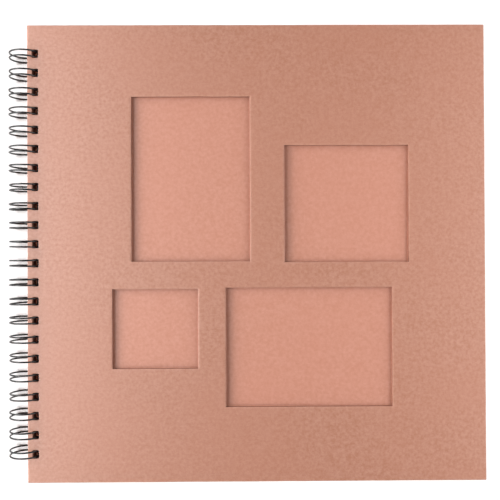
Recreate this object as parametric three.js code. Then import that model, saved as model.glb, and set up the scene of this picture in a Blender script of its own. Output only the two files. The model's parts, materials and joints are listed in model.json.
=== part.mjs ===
// A square scrapbook album: two kraft boards and twenty kraft cards on a twin-loop wire.
//
// The album lies closed on its back cover with the wire along the left edge.
// X runs from the wire to the fore edge, Y up the page and Z up from the back cover.
// The origin is the centre of the album's footprint, level with the lowest point of the wire.
//
// Every cover and card is punched with the same row of holes, and each hole holds one
// twin loop.  The loops are round, so a card turns about the line through their centres.
// The wire's seam is hidden between the last card and the back cover.  It holds the cards
// up along the spine, so they lean down a little towards the fore edge.

import * as THREE from "three";

// ---------------------------------------------------------------- driving dimensions, mm
const COVER_WIDTH = 305.5; // spine edge to fore edge
const COVER_HEIGHT = 304.8; // 12 inches
const BOARD = 2.0; // thickness of each cover board
const CARD = 0.3; // thickness of one card, about 250 g/m2
const CARD_COUNT = 20;
const CARD_GAP = 0.033; // air between one card and the next
const CARD_INSET = 0.8; // the cards stop short of the boards by this at the fore edge

const LOOP_COUNT = 22;
const LOOP_PITCH = 12.7; // two loops to the inch
const LOOP_RADIUS = 9.9; // centre of the wire, a nominal 19 mm inside
const WIRE_RADIUS = 0.55;

const HOLE_WIDTH = 4.2; // along X
const HOLE_HEIGHT = 5.4; // along Y
const HOLE_MARGIN = 3.2; // board left between a hole and the spine edge
const HOLE_CLEARANCE = 0.25; // wire to the far side of a hole, where the loop is widest

// Windows die-cut through the front cover: lower left corner from the spine edge and from
// the middle of the cover's height, then width and height.
const WINDOWS = [
  { x: 69.3, y: -5.6, width: 79, height: 110 },
  { x: 171.4, y: -6.3, width: 83, height: 78 },
  { x: 56.4, y: -77, width: 57, height: 53 },
  { x: 132, y: -102.7, width: 111, height: 79.5 },
];

// The wire is one length, bent into twin loops.  Each loop springs from a straight link
// that lies on the back cover's inner face, and its two legs draw together towards the tip.
const LINK_CLEARANCE = 0.15; // link to the board below it and to the card above it
const LEG_SPREAD_AT_LINK = 4.0; // between the centres of a loop's two legs
const LEG_SPREAD_AT_TIP = 2.9;
const LINK_BEND = 1.0; // radius of the bend from a link into a leg
const TIP_GAP = 1.0; // from the line of the links round to the tip

const WIRE_SIDES = 5;
const LEG_STEP = 30; // degrees of loop between one section of the wire and the next
const BEND_STEPS = 2;
const TIP_STEPS = 4;

// ---------------------------------------------------------------- levels and places
// The group "album" has its own origin on the loops' axis; everything is placed from there.
const loopOuter = LOOP_RADIUS + WIRE_RADIUS;
const holeFar = loopOuter + HOLE_CLEARANCE;
const holeNear = holeFar - HOLE_WIDTH;
const spineEdge = holeNear - HOLE_MARGIN;
const foreEdge = spineEdge + COVER_WIDTH;

const linkRoom = 2 * (WIRE_RADIUS + LINK_CLEARANCE);
const cardPitch = CARD + CARD_GAP;
const stackThickness = 2 * BOARD + linkRoom + CARD_COUNT * cardPitch;
const backOuter = -stackThickness / 2;
const backInner = backOuter + BOARD;
const frontInner = stackThickness / 2 - BOARD;
const linkHeight = backInner + WIRE_RADIUS + LINK_CLEARANCE;

// The cards and the front cover lean about the loops' axis until the last card meets the
// back cover at the fore edge.
const cardForeEdge = foreEdge - CARD_INSET;
const lean = Math.asin((linkRoom - CARD_GAP) / cardForeEdge);

// ---------------------------------------------------------------- materials
const kraftBoard = new THREE.MeshStandardMaterial({ color: 0xc99479, roughness: 0.9, metalness: 0 });
const kraftCard = new THREE.MeshStandardMaterial({ color: 0xd39b81, roughness: 0.95, metalness: 0 });
const blackWire = new THREE.MeshStandardMaterial({ color: 0x1c1a1b, roughness: 0.4, metalness: 0.3 });

// ---------------------------------------------------------------- boards and cards
function rectangle(Outline, x, y, width, height) {
  const outline = new Outline();
  outline.moveTo(x, y);
  outline.lineTo(x + width, y);
  outline.lineTo(x + width, y + height);
  outline.lineTo(x, y + height);
  outline.closePath();
  return outline;
}

// The Y of each loop's centre, from the foot of the page to its head.
function loopCentres() {
  const centre = (LOOP_COUNT - 1) / 2;
  return Array.from({ length: LOOP_COUNT }, (_, i) => (i - centre) * LOOP_PITCH);
}

// A flat sheet with the row of punched holes, its underside at the given level.
function sheet(name, material, width, thickness, level, windows = []) {
  const outline = rectangle(THREE.Shape, spineEdge, -COVER_HEIGHT / 2, width, COVER_HEIGHT);
  for (const y of loopCentres()) {
    outline.holes.push(rectangle(THREE.Path, holeNear, y - HOLE_HEIGHT / 2, HOLE_WIDTH, HOLE_HEIGHT));
  }
  for (const w of windows) {
    outline.holes.push(rectangle(THREE.Path, spineEdge + w.x, w.y, w.width, w.height));
  }
  const geometry = new THREE.ExtrudeGeometry(outline, { depth: thickness, bevelEnabled: false });
  const mesh = new THREE.Mesh(geometry, material);
  mesh.name = name;
  mesh.position.z = level;
  return mesh;
}

function cards() {
  const made = [];
  for (let n = 1; n <= CARD_COUNT; n += 1) {
    const level = frontInner - n * cardPitch;
    const name = `leaf_${String(n).padStart(2, "0")}`;
    made.push(sheet(name, kraftCard, cardForeEdge - spineEdge, CARD, level));
  }
  return made;
}

// ---------------------------------------------------------------- twin-loop wire
// The wire lies on a cylinder round the loops' axis.  Unrolled, that is a flat sheet with y
// along the axis and s, in mm, round it: s = 0 faces the fore edge and rises over the top.
// A station is a place on the sheet and the heading there, 0 along +Y and 90 degrees along +s.
const linkS = LOOP_RADIUS * Math.asin(linkHeight / LOOP_RADIUS);
const tipRadius = LEG_SPREAD_AT_TIP / 2;
const legStartS = linkS + LINK_BEND;
const legEndS = linkS + 2 * Math.PI * LOOP_RADIUS - TIP_GAP - tipRadius;
const RIGHT_ANGLE = Math.PI / 2;

// Places on an arc about (y, s), from one angle to another, with the heading along it.
function arc(y, s, radius, from, to, steps) {
  const turn = Math.sign(to - from) * RIGHT_ANGLE;
  return Array.from({ length: steps + 1 }, (_, i) => {
    const angle = from + ((to - from) * i) / steps;
    return { y: y + radius * Math.cos(angle), s: s + radius * Math.sin(angle), heading: angle + turn };
  });
}

// Places up one leg, between the bend at the link and the tip.
function leg(yLink, yTip, heading) {
  const step = THREE.MathUtils.degToRad(LEG_STEP) * LOOP_RADIUS;
  const places = [];
  for (let s = Math.ceil(legStartS / step + 0.25) * step; s < legEndS - step / 4; s += step) {
    const share = (s - legStartS) / (legEndS - legStartS);
    places.push({ y: yLink + (yTip - yLink) * share, s, heading });
  }
  return places;
}

function twinLoop(y) {
  const foot = LEG_SPREAD_AT_LINK / 2;
  const bendY = foot + LINK_BEND;
  const up = leg(y - foot, y - tipRadius, RIGHT_ANGLE);
  const down = leg(y + foot, y + tipRadius, -RIGHT_ANGLE).reverse();
  return [
    ...arc(y - bendY, legStartS, LINK_BEND, -RIGHT_ANGLE, 0, BEND_STEPS),
    ...up,
    ...arc(y, legEndS, tipRadius, Math.PI, 0, TIP_STEPS),
    ...down,
    ...arc(y + bendY, legStartS, LINK_BEND, Math.PI, 1.5 * Math.PI, BEND_STEPS),
  ];
}

// The stations as a curve that ExtrudeGeometry sweeps a section along, one step to a station.
class WireCurve extends THREE.Curve {
  constructor(stations) {
    super();
    this.stations = stations;
  }

  stationAt(t) {
    return this.stations[Math.round(t * (this.stations.length - 1))];
  }

  getPoint(t, target = new THREE.Vector3()) {
    const { y, s } = this.stationAt(t);
    const angle = s / LOOP_RADIUS;
    return target.set(LOOP_RADIUS * Math.cos(angle), y, LOOP_RADIUS * Math.sin(angle));
  }

  getTangent(t, target = new THREE.Vector3()) {
    const { s, heading } = this.stationAt(t);
    const angle = s / LOOP_RADIUS;
    const round = Math.sin(heading);
    return target.set(-round * Math.sin(angle), Math.cos(heading), round * Math.cos(angle));
  }

  getUtoTmapping(u) {
    return u;
  }
}

function bindingWire() {
  const stations = loopCentres().flatMap(twinLoop);
  const section = new THREE.Shape();
  for (let i = 0; i < WIRE_SIDES; i += 1) {
    const angle = (2 * Math.PI * i) / WIRE_SIDES;
    const corner = [WIRE_RADIUS * Math.cos(angle), WIRE_RADIUS * Math.sin(angle)];
    if (i === 0) section.moveTo(...corner);
    else section.lineTo(...corner);
  }
  const curve = new WireCurve(stations);
  const geometry = new THREE.ExtrudeGeometry(section, { steps: stations.length - 1, extrudePath: curve });
  const mesh = new THREE.Mesh(geometry, blackWire);
  mesh.name = "binding_wire";
  return mesh;
}

// ---------------------------------------------------------------- the album
const turningSheets = new THREE.Group();
turningSheets.add(...cards());
turningSheets.add(sheet("front_cover", kraftBoard, COVER_WIDTH, BOARD, frontInner, WINDOWS));
turningSheets.rotation.y = lean;

const album = new THREE.Group();
album.add(sheet("back_cover", kraftBoard, COVER_WIDTH, BOARD, backOuter));
album.add(turningSheets);
album.add(bindingWire());
album.position.set((loopOuter - foreEdge) / 2, 0, loopOuter);

const part = new THREE.Group();
part.add(album);

export default part;
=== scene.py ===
"""The looks of a kraft scrapbook album: board covers, card leaves and a black twin-loop wire.

Every sheet is rebuilt on the frame's own outline, with rounded punched holes, die-cut windows
and soft cut edges, and the wire as one smooth round wire along the frame's loops.
All lengths are in metres.
"""

import json
import math
import random

import bpy
from mathutils import Matrix, Vector, noise
from mathutils.geometry import delaunay_2d_cdt


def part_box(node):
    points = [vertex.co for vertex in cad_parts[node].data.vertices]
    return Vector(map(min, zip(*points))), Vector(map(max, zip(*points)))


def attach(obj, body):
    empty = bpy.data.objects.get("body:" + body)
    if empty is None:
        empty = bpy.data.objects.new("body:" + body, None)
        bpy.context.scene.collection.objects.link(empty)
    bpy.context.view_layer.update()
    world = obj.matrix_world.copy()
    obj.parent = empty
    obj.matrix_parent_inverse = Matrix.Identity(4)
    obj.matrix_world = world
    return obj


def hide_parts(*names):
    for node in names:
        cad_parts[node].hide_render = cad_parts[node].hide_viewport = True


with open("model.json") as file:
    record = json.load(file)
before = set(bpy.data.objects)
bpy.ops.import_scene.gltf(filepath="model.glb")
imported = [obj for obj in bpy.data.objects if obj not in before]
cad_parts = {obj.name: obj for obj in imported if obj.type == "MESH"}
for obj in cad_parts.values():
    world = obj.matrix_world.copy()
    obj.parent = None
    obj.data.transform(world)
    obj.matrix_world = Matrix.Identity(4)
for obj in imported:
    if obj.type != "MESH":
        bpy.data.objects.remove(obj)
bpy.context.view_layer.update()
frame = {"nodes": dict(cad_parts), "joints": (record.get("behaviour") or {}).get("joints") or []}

MM = 0.001
AXIS = Vector(frame["joints"][0]["pos_m"])  # the line through the loops' centres, along Y
LEAVES = sorted(name for name in frame["nodes"] if name.startswith("leaf_"))
LEVEL_PLAY = 0.01 * MM  # how far a corner of a flat face may be from the face's level


# ---------------------------------------------------------------- reading the frame
class Sheet:
    """A flat CAD sheet, measured in its own plane.

    u runs from the loops' axis to the fore edge, v along Y and w up through the sheet.
    """

    def __init__(self, node):
        mesh = frame["nodes"][node].data
        largest = max(mesh.polygons, key=lambda p: p.area * (p.normal.z > 0))
        lean = math.atan2(largest.normal.x, largest.normal.z)
        from_row = Matrix.Rotation(-lean, 4, "Y") @ Matrix.Translation(-AXIS)
        self.to_row = from_row.inverted()
        points = [from_row @ v.co for v in mesh.vertices]
        self.bottom = min(p.z for p in points)
        self.top = max(p.z for p in points)
        rectangles = self.rims(mesh, points)
        self.outline = max(rectangles, key=lambda r: (r[1] - r[0]) * (r[3] - r[2]))
        self.openings = sorted(r for r in rectangles if r != self.outline)

    def rims(self, mesh, points):
        """The bounds (u0, u1, v0, v1) of each closed rim of the top face."""
        places = [(round(p.x, 6), round(p.y, 6)) for p in points]
        uses = {}
        for polygon in mesh.polygons:
            if all(points[i].z > self.top - LEVEL_PLAY for i in polygon.vertices):
                corners = [places[i] for i in polygon.vertices]
                for pair in zip(corners, corners[1:] + corners[:1]):
                    edge = frozenset(pair)
                    uses[edge] = uses.get(edge, 0) + 1
        neighbours = {}
        for a, b in (tuple(edge) for edge, count in uses.items() if count == 1):
            neighbours.setdefault(a, []).append(b)
            neighbours.setdefault(b, []).append(a)
        found = []
        while neighbours:
            rim = [next(iter(neighbours))]
            for corner in rim:
                rim += [c for c in neighbours.pop(corner) if c in neighbours and c not in rim]
            us = [c[0] for c in rim]
            vs = [c[1] for c in rim]
            found.append((min(us), max(us), min(vs), max(vs)))
        return found


# ---------------------------------------------------------------- making meshes
WAVER_SCALE = 90  # bends of a cut side, in noise cells to the metre
LEAST_RADIUS = 0.05 * MM  # of a corner that shrinks as its rim moves in
ROUND_SHEET = -1  # the side of a rim that the sheet lies inside of, its outline
ROUND_OPENING = 1  # the side of a rim that the sheet lies outside of


def rounded_rectangle(bounds, radius, corner_steps, side_steps):
    """[(u, v, outward u, outward v)] anticlockwise round a rectangle with rounded corners.

    side_steps is how many steps each side takes along u and along v.
    """
    u0, u1, v0, v1 = bounds
    centres = [
        (u1 - radius, v0 + radius, -90),
        (u1 - radius, v1 - radius, 0),
        (u0 + radius, v1 - radius, 90),
        (u0 + radius, v0 + radius, 180),
    ]
    corners = []
    for cu, cv, start in centres:
        arc = []
        for i in range(corner_steps + 1):
            angle = math.radians(start + 90 * i / corner_steps)
            out_u, out_v = math.cos(angle), math.sin(angle)
            arc.append((cu + radius * out_u, cv + radius * out_v, out_u, out_v))
        corners.append(arc)
    points = []
    for side, (arc, following) in enumerate(zip(corners, corners[1:] + corners[:1])):
        points += arc
        u, v, out_u, out_v = arc[-1]
        end_u, end_v = following[0][:2]
        steps = side_steps[(side + 1) % 2]
        for i in range(1, steps):
            share = i / steps
            points.append((u + (end_u - u) * share, v + (end_v - v) * share, out_u, out_v))
    return points


class Rim:
    """One closed edge of a sheet: its outside, a window or a punched hole.

    side is ROUND_SHEET or ROUND_OPENING.  profile is [(inset, level, edge paleness)] from the top
    face over the cut edge to the bottom face; the third figure paints the paper paler near the edge,
    partly for rubbed wear and partly as a painted highlight.  spacing is between the vertices
    along a side, and waver is how far a cut side strays from straight, differently for each seed.
    """

    def __init__(self, bounds, side, profile, radius, corner_steps, spacing, waver=0.0, seed=0.0):
        self.bounds = bounds
        self.side = side
        self.radius = radius
        self.corner_steps = corner_steps
        self.profile = profile
        self.waver = waver
        self.seed = seed
        u0, u1, v0, v1 = bounds
        self.side_steps = [max(1, round((u1 - u0) / spacing)), max(1, round((v1 - v0) / spacing))]

    def ring(self, inset):
        """The rim moved into the sheet by inset, as a list of (u, v)."""
        grow = inset * self.side
        u0, u1, v0, v1 = self.bounds
        bounds = (u0 - grow, u1 + grow, v0 - grow, v1 + grow)
        radius = max(self.radius + grow, LEAST_RADIUS)
        ring = []
        for u, v, out_u, out_v in rounded_rectangle(bounds, radius, self.corner_steps, self.side_steps):
            waver = self.waver * noise.noise((u * WAVER_SCALE, v * WAVER_SCALE, self.seed))
            ring.append((u + out_u * waver, v + out_v * waver))
        return ring


def edge_profile(bottom, top, bevel, steps, band, drop=0.0):
    """[(inset, level, wear)] from the top face over the cut edge to the bottom face.

    The face starts to fall at inset band, by drop in all, and a round of radius bevel ends it.
    The third figure rises along the fallen face towards the edge and is 0.9 on the bevel's first
    half, where the paper is painted paler, partly rubbed wear and partly a painted highlight along
    the lip.  It is 1 from halfway round the bevel, where the cut edge's own material starts.
    """
    rows = []
    for inset in [band, 0.75 * band, 0.55 * band, 0.35 * band] if drop else [band]:
        fall = 1 - inset / band
        rows.append((inset, top - drop * fall ** 3, 0.5 * fall))
    shoulder = top - drop * (1 - bevel / band) ** 3
    for start, sign in ((shoulder, -1), (bottom, 1)):
        arc = []
        for i in range(steps + 1):
            angle = math.radians(90 * i / steps)
            inset = bevel * (1 - math.sin(angle))
            level = start + sign * bevel * (1 - math.cos(angle))
            # 0.9 keeps the face's paper, painted pale, on the first half of the round: partly rubbed
            # wear, partly a painted highlight
            arc.append((inset, level, 1.0 if i >= steps / 2 else 0.9))
        rows += arc if sign < 0 else arc[::-1]
    rows.append((band, bottom, 0.0))
    return rows


def fill(rings):
    """Triangles between an outer ring and the rings inside it, as indices into their points."""
    points = [Vector(p) for ring in rings for p in ring]
    edges = []
    start = 0
    for ring in rings:
        count = len(ring)
        edges += [(start + i, start + (i + 1) % count) for i in range(count)]
        start += count
    faces = [list(range(len(rings[0])))]
    start = len(rings[0])
    for ring in rings[1:]:
        faces.append(list(range(start, start + len(ring))))
        start += len(ring)
    _, _, triangles, origins, _, face_origins = delaunay_2d_cdt(points, edges, faces, 1, 1e-9)
    index = [origin[0] for origin in origins]
    kept = [t for t, inside in zip(triangles, face_origins) if inside == [0]]
    return [[index[i] for i in t] for t in kept]


def sheet_mesh(name, sheet, rims):
    """A closed mesh of a sheet with the given rims, in the row frame.

    Material slot 0 is the faces and slot 1 the cut edge.  The edge attribute is 1 on a cut edge;
    where it is lower, near the edge, the paper is painted paler, partly rubbed wear and partly a
    painted highlight.
    """
    vertices = []
    wear_and_highlight = []
    faces = []
    slots = []
    tops = []
    bottoms = []
    for rim in rims:
        rows = []
        for inset, level, amount in rim.profile:
            ring = rim.ring(inset)
            rows.append(range(len(vertices), len(vertices) + len(ring)))
            vertices += [sheet.to_row @ Vector((u, v, level)) for u, v in ring]
            wear_and_highlight += [amount] * len(ring)
        tops += rows[0]
        bottoms += rows[-1]
        for depth, (upper, lower) in enumerate(zip(rows, rows[1:])):
            cut = min(rim.profile[depth][2], rim.profile[depth + 1][2]) == 1.0
            for i in range(len(upper)):
                j = (i + 1) % len(upper)
                quad = [upper[i], lower[i], lower[j], upper[j]]
                faces.append(quad if rim.side == ROUND_SHEET else quad[::-1])
                slots.append(1 if cut else 0)
    for triangle in fill([rim.ring(rim.profile[0][0]) for rim in rims]):
        faces.append([tops[i] for i in triangle])
        slots.append(0)
    for triangle in fill([rim.ring(rim.profile[-1][0]) for rim in rims]):
        faces.append([bottoms[i] for i in reversed(triangle)])
        slots.append(0)
    mesh = bpy.data.meshes.new(name)
    mesh.from_pydata(vertices, [], faces)
    mesh.polygons.foreach_set("material_index", slots)
    mesh.attributes.new("wear_and_highlight", "FLOAT", "POINT").data.foreach_set("value", wear_and_highlight)
    mesh.shade_smooth()
    return mesh


def add_piece(name, mesh, materials, body, node):
    """Put a mesh in the scene as the piece that stands for a CAD node and rides on a body."""
    piece = bpy.data.objects.new(name, mesh)
    bpy.context.scene.collection.objects.link(piece)
    for material in materials:
        mesh.materials.append(material)
    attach(piece, body)
    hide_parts(node)


# ---------------------------------------------------------------- material helpers
class Nodes:
    """A material's node tree, with short ways to add and join nodes."""

    def __init__(self, name):
        self.material = bpy.data.materials.new(name)
        self.material.use_nodes = True
        self.tree = self.material.node_tree
        self.shader = self.tree.nodes["Principled BSDF"]
        self.place = self.add("ShaderNodeTexCoord").outputs["Object"]

    def add(self, kind, **settings):
        node = self.tree.nodes.new(kind)
        for key, value in settings.items():
            setattr(node, key, value)
        return node

    def join(self, source, target):
        self.tree.links.new(source, target)

    def stretched(self, scale, turn=0.0, shift=0.0):
        """The piece's coordinates, shifted, turned about Z and scaled."""
        mapping = self.add("ShaderNodeMapping")
        mapping.inputs["Location"].default_value = (shift, shift * 0.7, shift * 1.3)
        mapping.inputs["Rotation"].default_value = (0, 0, math.radians(turn))
        mapping.inputs["Scale"].default_value = scale
        self.join(self.place, mapping.inputs["Vector"])
        return mapping.outputs["Vector"]

    def noise(self, place, scale, detail=2.0, roughness=0.5):
        node = self.add("ShaderNodeTexNoise")
        node.inputs["Scale"].default_value = scale
        node.inputs["Detail"].default_value = detail
        node.inputs["Roughness"].default_value = roughness
        self.join(place, node.inputs["Vector"])
        return node.outputs["Fac"]

    def remap(self, value, low, high, to_low, to_high):
        node = self.add("ShaderNodeMapRange")
        sockets = ("From Min", "From Max", "To Min", "To Max")
        for socket, number in zip(sockets, (low, high, to_low, to_high)):
            node.inputs[socket].default_value = number
        self.join(value, node.inputs["Value"])
        return node.outputs["Result"]

    def math(self, operation, a, b):
        node = self.add("ShaderNodeMath", operation=operation)
        for socket, value in zip(node.inputs, (a, b)):
            if isinstance(value, (int, float)):
                socket.default_value = value
            else:
                self.join(value, socket)
        return node.outputs["Value"]

    def mix(self, amount, a, b):
        """Colour a blended with colour b by amount; a colour is a socket or (r, g, b)."""
        node = self.add("ShaderNodeMix", data_type="RGBA")
        for socket, value in ((node.inputs[0], amount), (node.inputs[6], a), (node.inputs[7], b)):
            if isinstance(value, (int, float)):
                socket.default_value = value
            elif isinstance(value, tuple):
                socket.default_value = (*value, 1)
            else:
                self.join(value, socket)
        return node.outputs[2]

    def wear_and_highlight(self):
        """The sheet's own record of its cut edges, 1 on an edge and 0 on a face."""
        # This also paints the paper paler near its edges: partly rubbed wear, partly a painted
        # highlight.
        return self.add("ShaderNodeAttribute", attribute_name="wear_and_highlight").outputs["Fac"]

    def bump(self, height, depth, normal=None):
        node = self.add("ShaderNodeBump")
        node.inputs["Distance"].default_value = depth
        self.join(height, node.inputs["Height"])
        if normal is not None:
            self.join(normal, node.inputs["Normal"])
        return node.outputs["Normal"]


# ---------------------------------------------------------------- materials
# The sizes of the textures, as noise cells to the metre.
GRAIN = 1300
MOTTLE = 480
CLOUD = 14
DARK_FIBRE = 2600
PALE_FIBRE = 2300
NAP = 1500  # of a cut edge
SCUFF = 900  # of the wire's coating

DARK_FIBRE_SQUEEZE = 0.16  # of the texture along a fibre, which draws it out
PALE_FIBRE_SQUEEZE = 0.14
PAPER_RELIEF = 0.02 * MM
EDGE_RELIEF = 0.08 * MM
WIRE_RELIEF = 0.01 * MM

COVER_COLOUR = (0.453, 0.2, 0.126)
LEAF_COLOUR = (0.59, 0.26, 0.177)
WIRE_COLOUR = (0.012, 0.011, 0.012)
SCUFF_COLOUR = (0.05, 0.045, 0.045)


def scaled(colour, *factors):
    """A colour times one factor for each of its channels."""
    return tuple(c * f for c, f in zip(colour, factors))


def kraft(name, colour, contrast, gloss, shift):
    """Unbleached paper: a fine mottled ground with short light and dark fibres pressed into it.

    contrast is how much the texture shows, and shift moves it, so that two papers differ.
    """
    n = Nodes(name)
    ground = n.stretched((1, 1, 1), shift=shift)
    grain = n.noise(ground, GRAIN, detail=3, roughness=0.65)
    mottle = n.noise(ground, MOTTLE, detail=3)
    cloud = n.noise(ground, CLOUD)
    dark_place = n.stretched((1, DARK_FIBRE_SQUEEZE, 1), turn=27, shift=shift)
    pale_place = n.stretched((PALE_FIBRE_SQUEEZE, 1, 1), turn=-15, shift=shift + 3)
    dark_fibre = n.noise(dark_place, DARK_FIBRE)
    pale_fibre = n.noise(pale_place, PALE_FIBRE)
    deep = scaled(colour, 0.86, 0.76, 0.68)
    pale = scaled(colour, 1.10, 1.22, 1.36)
    rosy = scaled(colour, 1.03, 0.97, 0.98)
    tone = n.mix(n.remap(mottle, 0.3, 0.7, 0.0, 1.0), deep, pale)
    tone = n.mix(1 - contrast, tone, colour)
    tone = n.mix(n.remap(cloud, 0.35, 0.65, 0.0, 0.5 * contrast), tone, rosy)
    tone = n.mix(n.remap(grain, 0.35, 0.7, 0.0, 0.4 * contrast), tone, deep)
    tone = n.mix(n.remap(dark_fibre, 0.62, 0.74, 0.0, 0.8 * contrast), tone, deep)
    tone = n.mix(n.remap(pale_fibre, 0.62, 0.76, 0.0, 0.9 * contrast), tone, pale)
    # Paler towards every cut edge: partly rubbed wear, partly a painted highlight along the rounded
    # lip.
    worn_and_highlit = n.math("MULTIPLY", n.wear_and_highlight(), n.remap(mottle, 0.3, 0.7, 0.2, 0.8))
    tone = n.mix(worn_and_highlit, tone, pale)
    n.join(tone, n.shader.inputs["Base Color"])
    n.join(n.remap(grain, 0.3, 0.7, 0.5, 0.62), n.shader.inputs["Roughness"])
    n.shader.inputs["Specular IOR Level"].default_value = gloss
    fibres = n.math("SUBTRACT", n.math("ADD", grain, pale_fibre), n.math("MULTIPLY", dark_fibre, 0.6))
    coarse = n.bump(mottle, PAPER_RELIEF)
    n.join(n.bump(fibres, PAPER_RELIEF, coarse), n.shader.inputs["Normal"])
    return n.material


def cut_edge(name, colour, layer, shift):
    """The cut side of board or card, where the pressed layers show as fine lines.

    layer is about the thickness of one of them.
    """
    n = Nodes(name)
    layers = n.noise(n.stretched((0.05, 0.05, 1), shift=shift), 1 / layer, detail=3, roughness=0.6)
    nap = n.noise(n.stretched((1, 1, 1), shift=shift), NAP, detail=3)
    deep = scaled(colour, 0.62, 0.62, 0.62)
    tone = n.mix(n.remap(layers, 0.3, 0.7, 0.0, 1.0), deep, colour)
    tone = n.mix(n.remap(nap, 0.4, 0.75, 0.0, 0.45), tone, deep)
    n.join(tone, n.shader.inputs["Base Color"])
    n.shader.inputs["Roughness"].default_value = 0.9
    n.shader.inputs["Specular IOR Level"].default_value = 0.25
    n.join(n.bump(n.math("ADD", layers, nap), EDGE_RELIEF), n.shader.inputs["Normal"])
    return n.material


def coated_wire():
    """Black nylon-coated steel, a little scuffed."""
    n = Nodes("wire_black")
    scuffs = n.noise(n.stretched((1, 1, 1)), SCUFF, detail=4, roughness=0.7)
    tone = n.mix(n.remap(scuffs, 0.55, 0.8, 0.0, 0.35), WIRE_COLOUR, SCUFF_COLOUR)
    n.join(tone, n.shader.inputs["Base Color"])
    n.join(n.remap(scuffs, 0.35, 0.7, 0.26, 0.42), n.shader.inputs["Roughness"])
    n.join(n.bump(scuffs, WIRE_RELIEF), n.shader.inputs["Normal"])
    return n.material


# ---------------------------------------------------------------- sheets
HOLE_CORNER = 0.7 * MM
LEAST_WINDOW = 20 * MM  # across, where a punched hole is far smaller
BOARD_LAYER = 0.35 * MM
CARD_LAYER = 0.12 * MM
CARD_LOOKS = 4  # how many papers the leaves are cut from
CARD_SHORT = (0.35, 0.25, 0.25)  # mm at most, at a card's fore edge, foot and head


def make_cover(node, body, shift):
    """A cover board: guillotined outside, die-cut windows whose edges were pressed down a little."""
    sheet = Sheet(node)
    levels = (sheet.bottom, sheet.top)
    trimmed = edge_profile(*levels, bevel=0.45 * MM, steps=5, band=1.8 * MM, drop=0.08 * MM)
    punched = edge_profile(*levels, bevel=0.25 * MM, steps=3, band=0.8 * MM, drop=0.05 * MM)
    pressed = edge_profile(*levels, bevel=0.16 * MM, steps=4, band=2.0 * MM, drop=0.16 * MM)
    edge = {"radius": 0.6 * MM, "corner_steps": 4, "spacing": 3.0 * MM, "waver": 0.08 * MM}
    hole = {"radius": HOLE_CORNER, "corner_steps": 4, "spacing": 1.2 * MM, "waver": 0.1 * MM}
    window = {"radius": 0.25 * MM, "corner_steps": 3, "spacing": 1.6 * MM, "waver": 0.16 * MM}
    rims = [Rim(sheet.outline, ROUND_SHEET, trimmed, seed=1.5, **edge)]
    for count, bounds in enumerate(sheet.openings):
        if bounds[1] - bounds[0] > LEAST_WINDOW:
            rims.append(Rim(bounds, ROUND_OPENING, pressed, seed=7.0 + count, **window))
        else:
            rims.append(Rim(bounds, ROUND_OPENING, punched, seed=30.0 + count, **hole))
    mesh = sheet_mesh(node + "_board", sheet, rims)
    face = kraft("kraft_" + node, COVER_COLOUR, contrast=0.9, gloss=0.8, shift=shift)
    # The cut edge is painted 0.62 as bright as the face: partly the cut fibres' own darker colour,
    # partly painted shade on the walls of the windows and holes.
    side = cut_edge("cut_" + node, scaled(COVER_COLOUR, 0.62, 0.62, 0.62), BOARD_LAYER, shift)
    add_piece(node + "_board", mesh, [face, side], body, node)


def make_leaf(node, number, faces, edges, chance):
    """A card, cut a hair shorter than the frame's at its fore edge, head and foot."""
    sheet = Sheet(node)
    u0, u1, v0, v1 = sheet.outline
    fore, foot, head = (chance.uniform(0, most) * MM for most in CARD_SHORT)
    profile = edge_profile(sheet.bottom, sheet.top, bevel=0.06 * MM, steps=2, band=1.0 * MM)
    outline = (u0, u1 - fore, v0 + foot, v1 - head)
    edge = {"radius": 0.5 * MM, "corner_steps": 3, "spacing": 12 * MM, "waver": 0.06 * MM}
    hole = {"radius": HOLE_CORNER, "corner_steps": 3, "spacing": 6 * MM}
    rims = [Rim(outline, ROUND_SHEET, profile, seed=number, **edge)]
    rims += [Rim(bounds, ROUND_OPENING, profile, **hole) for bounds in sheet.openings]
    mesh = sheet_mesh(node + "_card", sheet, rims)
    look = number % CARD_LOOKS
    add_piece(node + "_card", mesh, [faces[look], edges[look]], node, node)


def make_leaves():
    """All the leaves, their papers in turn, so that the edges of the stack can be told apart."""
    chance = random.Random(12)
    faces = []
    edges = []
    for look in range(CARD_LOOKS):
        shift = 5.0 + 2.3 * look
        tint = tuple(c * (0.95 + 0.03 * look) for c in LEAF_COLOUR)
        edge = tuple(c * (0.5 + 0.1 * look) for c in LEAF_COLOUR)
        faces.append(kraft(f"kraft_leaf_{look}", tint, contrast=0.5, gloss=0.62, shift=shift))
        edges.append(cut_edge(f"cut_leaf_{look}", edge, CARD_LAYER, shift))
    for number, node in enumerate(LEAVES):
        make_leaf(node, number, faces, edges, chance)


# ---------------------------------------------------------------- the wire
LOOP_COUNT = 22
LOOP_PITCH = 12.7 * MM
LOOP_RADIUS = 9.9 * MM
WIRE_RADIUS = 0.55 * MM
LINK_HEIGHT = -3.33 * MM  # of the links' centre, from the loops' axis
LINK_SPREAD = 4.0 * MM  # between a loop's legs where they spring from the links
TIP_SPREAD = 2.9 * MM
LINK_BEND = 1.0 * MM
TIP_GAP = 1.0 * MM
LOOP_LEAN = 0.025  # the most that a loop leans along Y, for each unit of its radius
LOOP_BULGE = 0.015  # the most that a loop bulges past the spine, or falls short
WIRE_SIDES = 14
LEG_TURN = 5  # degrees of loop between one ring of vertices and the next
END_DOME = [(-0.97, 0.26), (-0.87, 0.5), (-0.5, 0.87)]  # (place along the wire, thickness) in radii


def bend(y, s, radius, start, end, steps=6):
    """[(y, s, heading)] on an arc of the unrolled wire, its angles in degrees."""
    turn = math.copysign(90, end - start)
    stations = []
    for i in range(steps + 1):
        angle = start + (end - start) * i / steps
        along, round_axis = math.cos(math.radians(angle)), math.sin(math.radians(angle))
        stations.append((y + radius * along, s + radius * round_axis, math.radians(angle + turn)))
    return stations


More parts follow.
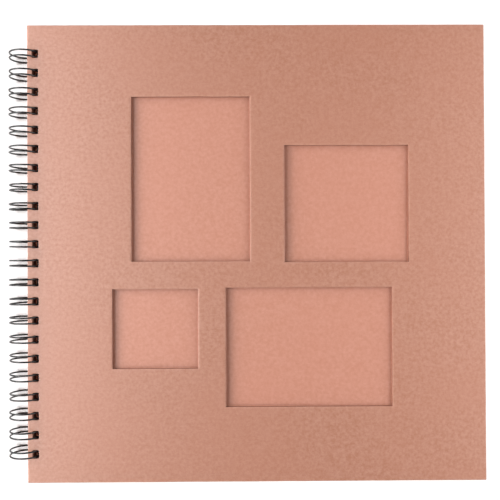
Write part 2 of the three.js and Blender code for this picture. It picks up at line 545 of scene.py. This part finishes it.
def twin_loop(y):
    """[(y, s, heading)] of one loop: out of a link, up a leg, over the tip and down again.

    s runs round the loops' axis from the fore edge's side over the top.  A heading is 0 along
    Y and a quarter turn along s.
    """
    link = LOOP_RADIUS * math.asin(LINK_HEIGHT / LOOP_RADIUS)
    low = link + LINK_BEND
    high = link + 2 * math.pi * LOOP_RADIUS - TIP_GAP - TIP_SPREAD / 2
    foot = LINK_SPREAD / 2
    steps = round(math.degrees((high - low) / LOOP_RADIUS) / LEG_TURN)
    up = []
    down = []
    for i in range(1, steps):
        share = i / steps
        apart = foot + (TIP_SPREAD / 2 - foot) * share
        s = low + (high - low) * share
        up.append((y - apart, s, math.radians(90)))
        down.append((y + apart, s, math.radians(-90)))
    first = bend(y - foot - LINK_BEND, low, LINK_BEND, -90, 0)
    tip = bend(y, high, TIP_SPREAD / 2, 180, 0, steps=12)
    last = bend(y + foot + LINK_BEND, low, LINK_BEND, 180, 270)
    return first + up + tip + down[::-1] + last


def make_wire(material):
    """The binding's one round wire, bent into its row of twin loops, no two quite alike."""
    chance = random.Random(5)
    stations = []
    shapes = []
    for i in range(LOOP_COUNT):
        loop = twin_loop((i - (LOOP_COUNT - 1) / 2) * LOOP_PITCH)
        stations += loop
        shape = (chance.uniform(-LOOP_LEAN, LOOP_LEAN), chance.uniform(-LOOP_BULGE, LOOP_BULGE))
        shapes += [shape] * len(loop)
    sections = [(stations[0], shapes[0], past, thick) for past, thick in END_DOME]
    sections += [(station, shape, 0.0, 1.0) for station, shape in zip(stations, shapes)]
    sections += [(stations[-1], shapes[-1], -past, thick) for past, thick in reversed(END_DOME)]
    vertices = []
    for (y, s, heading), (lean, bulge), past, thick in sections:
        angle = s / LOOP_RADIUS
        outward = Vector((math.cos(angle), 0, math.sin(angle)))
        round_axis = Vector((-math.sin(angle), 0, math.cos(angle)))
        ahead = Vector((0, 1, 0)) * math.cos(heading) + round_axis * math.sin(heading)
        across = ahead.cross(outward)
        centre = outward * LOOP_RADIUS + Vector((0, y, 0)) + ahead * past * WIRE_RADIUS
        spineward = max(0.0, -outward.x)  # a loop bends only past the spine, clear of the holes
        centre += Vector((-bulge, lean, 0)) * LOOP_RADIUS * spineward ** 1.5
        for k in range(WIRE_SIDES):
            turn = 2 * math.pi * k / WIRE_SIDES
            section = outward * math.cos(turn) + across * math.sin(turn)
            vertices.append(AXIS + centre + section * WIRE_RADIUS * thick)
    faces = []
    for ring in range(len(sections) - 1):
        for k in range(WIRE_SIDES):
            a, b = ring * WIRE_SIDES + k, ring * WIRE_SIDES + (k + 1) % WIRE_SIDES
            faces.append([a, b, b + WIRE_SIDES, a + WIRE_SIDES])
    last = len(vertices) - WIRE_SIDES
    faces.append(list(range(WIRE_SIDES))[::-1])
    faces.append(list(range(last, last + WIRE_SIDES)))
    mesh = bpy.data.meshes.new("twin_loop_wire")
    mesh.from_pydata(vertices, [], faces)
    mesh.shade_smooth()
    add_piece("twin_loop_wire", mesh, [material], "back", "binding_wire")


# ---------------------------------------------------------------- stage, light and camera
FLOOR_HALF = 4.0
BACKDROP_RADIUS = 3.8
BACKDROP_COLOUR = (0.95, 0.95, 0.96, 1)
WORLD_COLOUR = (1, 0.9, 0.82, 1)
WORLD_STRENGTH = 0.11
FLOOR_SUN = 3.55
FLOOR_SUN_PLACE = (-0.1, 0, 1.2)
FLOOR_SUN_ANGLE = 16  # degrees

# name, place, target, size along Y and height, watts, and the rays that don't see it
SOFTBOXES = [
    ("spine_low", (-0.75, 0, 0.23), (0, 0, 0.23), (2.0, 0.26), 18.0, "visible_glossy"),
    ("spine_high", (-0.75, 0, 0.63), (0, 0, 0.63), (2.0, 0.54), 10.2, "visible_glossy"),
    ("fore_low", (0.38, 0, 0.23), (0, 0, 0.23), (0.6, 0.42), 2.35, None),
    ("spine_gloss", (-0.42, 0, 0.34), (-0.0504, 0, 0.01), (0.9, 0.26), 7.0, "visible_diffuse"),
    ("fore_gloss", (0.42, 0, 0.34), (0.0504, 0, 0.01), (0.9, 0.26), 0.7, "visible_diffuse"),
]

LENS = 48.14  # mm, on the standard 36 mm sensor
CAMERA_PLACE = (0.0011, -0.0006, 0.46187)
CAMERA_AHEAD = (0.00282, 0.00552, -1)
CAMERA_UP = (0.00434, 1, 0.00553)


def collection_of(name, thing, state="INCLUDE"):
    """A collection that ties a light to one object, or keeps it off that object."""
    group = bpy.data.collections.new(name)
    group.objects.link(thing)
    group.collection_objects[0].light_linking.link_state = state
    return group


def make_floor():
    """A pale floor that touches the wire's lowest points and the back cover's fore edge."""
    foot = Vector((AXIS.x, 0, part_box("binding_wire")[0].z))
    low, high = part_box("back_cover")
    slope = math.atan2(low.z - foot.z, high.x - foot.x)
    signs = [(-1, -1), (1, -1), (1, 1), (-1, 1)]
    corners = [(a * FLOOR_HALF, b * FLOOR_HALF, 0) for a, b in signs]
    mesh = bpy.data.meshes.new("floor")
    mesh.from_pydata(corners, [], [(0, 1, 2, 3)])
    floor = bpy.data.objects.new("floor", mesh)
    bpy.context.scene.collection.objects.link(floor)
    floor.matrix_world = Matrix.Translation(foot) @ Matrix.Rotation(-slope, 4, "Y")
    n = Nodes("floor_white")
    n.shader.inputs["Base Color"].default_value = (0.9, 0.9, 0.9, 1)
    n.shader.inputs["Roughness"].default_value = 0.9
    n.shader.inputs["Specular IOR Level"].default_value = 0.1
    mesh.materials.append(n.material)
    return floor


def make_backdrop():
    """A pale wall all round, far off, that only the camera sees."""
    bpy.ops.mesh.primitive_cylinder_add(
        vertices=64, radius=BACKDROP_RADIUS, depth=2 * FLOOR_HALF, end_fill_type="NOTHING"
    )
    wall = bpy.context.object
    wall.name = "backdrop"
    n = Nodes("backdrop_pale")
    n.shader.inputs["Base Color"].default_value = (0, 0, 0, 1)
    n.shader.inputs["Emission Color"].default_value = BACKDROP_COLOUR
    n.shader.inputs["Emission Strength"].default_value = 1.0
    wall.data.materials.append(n.material)
    wall.visible_diffuse = False
    wall.visible_glossy = False
    wall.visible_shadow = False


def add_light(light, place, target, linked):
    """Put a light in the scene, aimed at a target and linked to a collection of receivers."""
    lamp = bpy.data.objects.new(light.name, light)
    bpy.context.scene.collection.objects.link(lamp)
    lamp.location = place
    lamp.rotation_euler = (Vector(target) - Vector(place)).to_track_quat("-Z", "Y").to_euler()
    lamp.visible_camera = False
    lamp.light_linking.receiver_collection = linked
    return lamp


def lights(floor):
    """A tall soft light beyond the spine, a low one at the fore edge, and a floor lit from above.

    The two gloss lamps only add the paper's faint sheen along both edges.  No softbox reaches
    the floor, which a sun of its own keeps an even white.
    """
    off_floor = collection_of("off_floor", floor, "EXCLUDE")
    for name, place, target, size, watts, unseen_by in SOFTBOXES:
        light = bpy.data.lights.new(name, "AREA")
        light.shape = "RECTANGLE"
        light.size, light.size_y = size
        light.energy = watts
        lamp = add_light(light, place, target, off_floor)
        if unseen_by:
            setattr(lamp, unseen_by, False)
    sun = bpy.data.lights.new("floor_only", "SUN")
    sun.angle = math.radians(FLOOR_SUN_ANGLE)
    sun.energy = FLOOR_SUN
    add_light(sun, FLOOR_SUN_PLACE, (0, 0, 0), collection_of("on_floor", floor))
    world = bpy.data.worlds.new("studio")
    world.use_nodes = True
    background = world.node_tree.nodes["Background"]
    background.inputs["Color"].default_value = WORLD_COLOUR
    background.inputs["Strength"].default_value = WORLD_STRENGTH
    bpy.context.scene.world = world
    bpy.context.scene.view_settings.view_transform = "Standard"


def camera():
    """Straight above the cover, a hair off level and turned a quarter of a degree."""
    data = bpy.data.cameras.new("camera")
    data.lens = LENS
    lens = bpy.data.objects.new("camera", data)
    bpy.context.scene.collection.objects.link(lens)
    ahead = Vector(CAMERA_AHEAD).normalized()
    right = ahead.cross(Vector(CAMERA_UP)).normalized()
    up = right.cross(ahead)
    turned = Matrix((right, up, -ahead)).transposed().to_4x4()
    lens.matrix_world = Matrix.Translation(CAMERA_PLACE) @ turned
    bpy.context.scene.camera = lens


# ---------------------------------------------------------------- the scene
camera()
make_backdrop()
lights(make_floor())
make_cover("back_cover", "back", 11.0)
make_leaves()
make_cover("front_cover", "front", 2.0)
make_wire(coated_wire())
